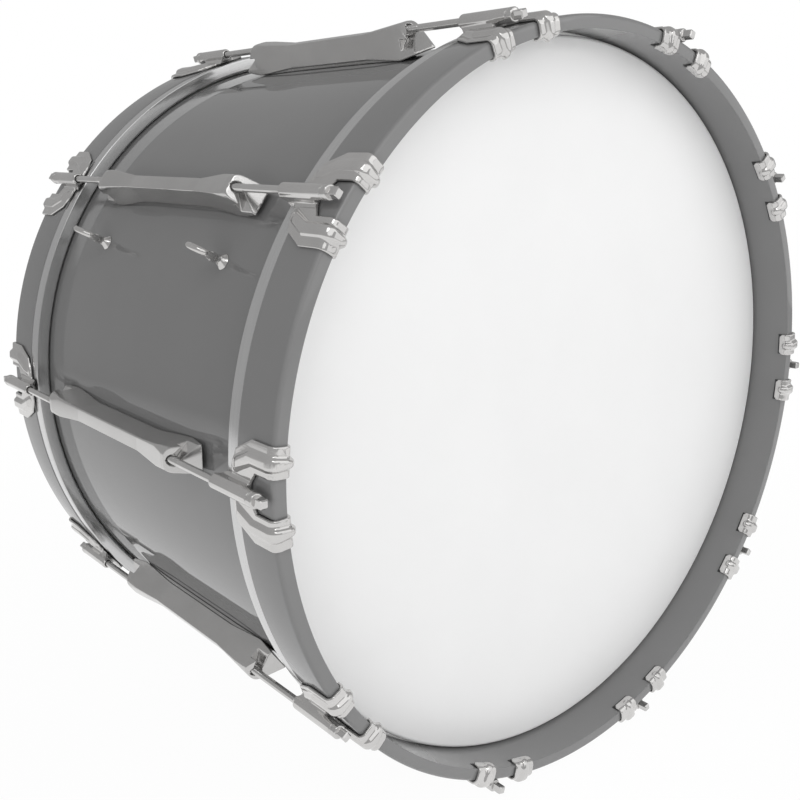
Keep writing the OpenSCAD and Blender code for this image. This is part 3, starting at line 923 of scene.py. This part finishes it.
def make_stage():
    """A white floor with only a trace of the drum's shadow, dimmer further out in mirrored rays."""
    z = CAD_BOX[0][2]
    mesh = bpy.data.meshes.new("floor")
    mesh.from_pydata([(x * FLOOR_HALF, y * FLOOR_HALF, z) for x, y in ((-1, -1), (1, -1), (1, 1), (-1, 1))],
                     [], [(0, 1, 2, 3)])
    floor = new_object("floor", mesh)
    material = bpy.data.materials.new("floor_white")
    material.use_nodes = True
    tree = material.node_tree
    output = cleared(tree, "ShaderNodeOutputMaterial")
    diffuse = tree.nodes.new("ShaderNodeBsdfDiffuse")
    diffuse.inputs["Color"].default_value = (0.9, 0.9, 0.9, 1)
    glow = tree.nodes.new("ShaderNodeEmission")
    glow.inputs["Strength"].default_value = 1.0
    where = tree.nodes.new("ShaderNodeTexCoord")
    away = tree.nodes.new("ShaderNodeVectorMath")
    away.operation = "LENGTH"
    tree.links.new(where.outputs["Object"], away.inputs[0])
    distance = away.outputs["Value"]
    white = fade(tree, distance, 0.5, 1.2, 0.97, 1.0)
    dim = fade(tree, distance, 1.15, 2.4, 1.0, FAR_LEVEL)
    tree.links.new(maths(tree, "MAXIMUM", dim, seen_by(tree, ["Is Camera Ray"])), glow.inputs["Color"])
    mix = tree.nodes.new("ShaderNodeMixShader")
    tree.links.new(maths(tree, "MULTIPLY", seen_by(tree, DIRECT), white), mix.inputs[0])
    tree.links.new(diffuse.outputs[0], mix.inputs[1])
    tree.links.new(glow.outputs[0], mix.inputs[2])
    tree.links.new(mix.outputs[0], output.inputs["Surface"])
    mesh.materials.append(material)


def make_world():
    """Pure white to the camera, a mid grey to mirrored rays, and a soft even light on the drum."""
    world = bpy.data.worlds.new("studio")
    bpy.context.scene.world = world
    world.use_nodes = True
    tree = world.node_tree
    output = cleared(tree, "ShaderNodeOutputWorld")
    soft = tree.nodes.new("ShaderNodeBackground")
    soft.inputs["Strength"].default_value = WORLD_STRENGTH
    seen = tree.nodes.new("ShaderNodeBackground")
    level = maths(tree, "MAXIMUM", FAR_LEVEL, seen_by(tree, ["Is Camera Ray"]))
    tree.links.new(level, seen.inputs["Color"])
    mix = tree.nodes.new("ShaderNodeMixShader")
    tree.links.new(seen_by(tree, DIRECT), mix.inputs[0])
    tree.links.new(soft.outputs[0], mix.inputs[1])
    tree.links.new(seen.outputs[0], mix.inputs[2])
    tree.links.new(mix.outputs[0], output.inputs["Surface"])


# Name, place, size, power, and whether metal mirrors it.
LIGHTS = (
    ("front", (-0.3, -2.8, 0.3), (2.4, 2.0), 18, False),
    ("key", (2.0, -1.9, 0.05), (3.0, 1.6), 9, True),
    ("fill", (-2.4, -1.2, -0.05), (1.6, 0.5), 8, False),
    ("back", (-0.2, 2.8, 0.3), (2.4, 2.0), 16, False),
    ("top", (0.2, -1.7, 1.3), (3.4, 1.5), 13, True),
    ("spot", (-1.07, -1.15, 1.48), (0.5, 0.5), 2, True))


def make_light(name, place, size, power, mirrored_in_metal):
    """A softbox aimed at the drum's middle, its place and size in metres and its power in watts."""
    light = bpy.data.lights.new(name, "AREA")
    light.shape = "RECTANGLE"
    light.size, light.size_y = size
    light.energy = power
    obj = new_object(name, light)
    obj.location = place
    obj.rotation_euler = (-Vector(place)).to_track_quat("-Z", "Y").to_euler()
    obj.visible_glossy = mirrored_in_metal


# Where the photograph was taken from, in metres, and the way it looks.
CAMERA_PLACE = (-0.5882, -0.6819, 0.1997)
CAMERA_TOWARDS = (0.62286, 0.74330, -0.24402)
CAMERA_LENS = 44.66


def make_camera():
    """The photograph's camera, close to the drum and with no depth of field."""
    camera = bpy.data.cameras.new("camera")
    camera.sensor_width = 36.0
    camera.lens = CAMERA_LENS
    camera.clip_start = 0.01
    obj = new_object("camera", camera)
    obj.location = CAMERA_PLACE
    obj.rotation_euler = Vector(CAMERA_TOWARDS).to_track_quat("-Z", "Y").to_euler()
    bpy.context.scene.camera = obj


make_shell()
for end_name, end_side in ENDS:
    make_hoop(end_name, end_side)
    make_flesh_hoop(end_name, end_side)
    make_head(end_name, end_side)
make_lugs()
make_claws()
make_rods()
make_eye_bolts()
finish_cad_nodes()
make_stage()
make_world()
for light_settings in LIGHTS:
    make_light(*light_settings)
make_camera()

bpy.context.scene.view_settings.view_transform = "Standard"
